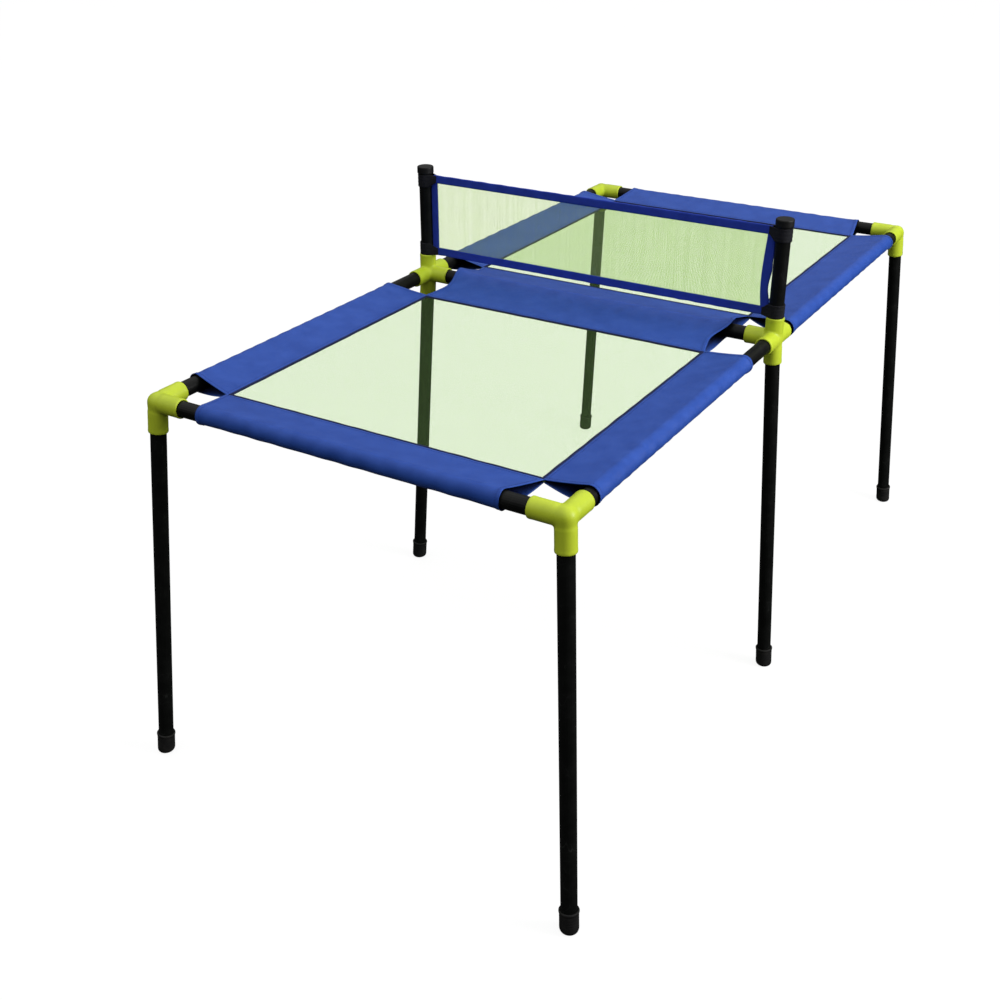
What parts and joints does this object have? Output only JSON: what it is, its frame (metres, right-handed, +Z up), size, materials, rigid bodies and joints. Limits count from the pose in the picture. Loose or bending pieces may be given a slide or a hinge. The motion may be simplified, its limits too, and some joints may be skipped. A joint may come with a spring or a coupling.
{
  "type": "portable table tennis table",
  "caption": "Knock-down tube-frame table tennis table with fabric-edged mesh playing surfaces and a lift-out net on two posts.",
  "frame": {"origin": "on the floor under the middle of the net", "axes": "+Z up, +Y along the table from the front half to the rear half, +X to the right across it"},
  "size_m": [0.7278, 1.3978, 0.756],
  "materials": {
    "lime_plastic": "satin injection moulded",
    "black_tube": "satin powder coat",
    "black_rubber": "matt",
    "black_plastic": "satin moulded",
    "blue_fabric": "woven polyester",
    "lime_mesh": "open knitted mesh",
    "net_mesh": "open knitted mesh",
    "navy_tape": "woven binding tape",
    "black_webbing": "woven webbing"
  },
  "bodies": {
    "frame": {"connector_front_left": "lime_plastic", "connector_front_right": "lime_plastic", "connector_middle_left": "lime_plastic", "connector_middle_right": "lime_plastic", "connector_rear_left": "lime_plastic", "connector_rear_right": "lime_plastic", "cross_tube_front": "black_tube", "cross_tube_middle": "black_tube", "cross_tube_rear": "black_tube", "play_mesh_front": "lime_mesh", "play_mesh_rear": "lime_mesh", "side_rail_front_left": "black_tube", "side_rail_front_right": "black_tube", "side_rail_rear_left": "black_tube", "side_rail_rear_right": "black_tube", "sleeve_front": "blue_fabric", "sleeve_front_left": "blue_fabric", "sleeve_front_right": "blue_fabric", "sleeve_middle": "blue_fabric", "sleeve_rear": "blue_fabric", "sleeve_rear_left": "blue_fabric", "sleeve_rear_right": "blue_fabric"},
    "leg_front_left": {"leg_front_left": "black_tube", "foot_front_left": "black_rubber"},
    "leg_front_right": {"leg_front_right": "black_tube", "foot_front_right": "black_rubber"},
    "leg_middle_left": {"leg_middle_left": "black_tube", "foot_middle_left": "black_rubber"},
    "leg_middle_right": {"leg_middle_right": "black_tube", "foot_middle_right": "black_rubber"},
    "leg_rear_left": {"leg_rear_left": "black_tube", "foot_rear_left": "black_rubber"},
    "leg_rear_right": {"leg_rear_right": "black_tube", "foot_rear_right": "black_rubber"},
    "net_assembly": {"net_mesh": "net_mesh", "net_post_left": "black_tube", "net_post_right": "black_tube", "net_strap_bottom_left": "black_webbing", "net_strap_bottom_right": "black_webbing", "net_strap_top_left": "black_webbing", "net_strap_top_right": "black_webbing", "net_tape_bottom": "navy_tape", "net_tape_left": "navy_tape", "net_tape_right": "navy_tape", "net_tape_top": "navy_tape", "post_cap_left": "black_plastic", "post_cap_right": "black_plastic"}
  },
  "joints": [
    {"name": "pull_leg_front_left", "type": "slide", "parent": "frame", "child": "leg_front_left", "axis": [-0.0713, -0.0713, -0.9949], "range_m": [0, 0.05]},
    {"name": "pull_leg_front_right", "type": "slide", "parent": "frame", "child": "leg_front_right", "axis": [0.0713, -0.0713, -0.9949], "range_m": [0, 0.05]},
    {"name": "pull_leg_middle_left", "type": "slide", "parent": "frame", "child": "leg_middle_left", "axis": [-0.0715, 0, -0.9974], "range_m": [0, 0.05]},
    {"name": "pull_leg_middle_right", "type": "slide", "parent": "frame", "child": "leg_middle_right", "axis": [0.0715, 0, -0.9974], "range_m": [0, 0.05]},
    {"name": "pull_leg_rear_left", "type": "slide", "parent": "frame", "child": "leg_rear_left", "axis": [-0.0713, 0.0713, -0.9949], "range_m": [0, 0.05]},
    {"name": "pull_leg_rear_right", "type": "slide", "parent": "frame", "child": "leg_rear_right", "axis": [0.0713, 0.0713, -0.9949], "range_m": [0, 0.05]},
    {"name": "net_lift", "type": "slide", "parent": "frame", "child": "net_assembly", "axis": [0, 0, 1], "range_m": [0, 0.06]}
  ]
}
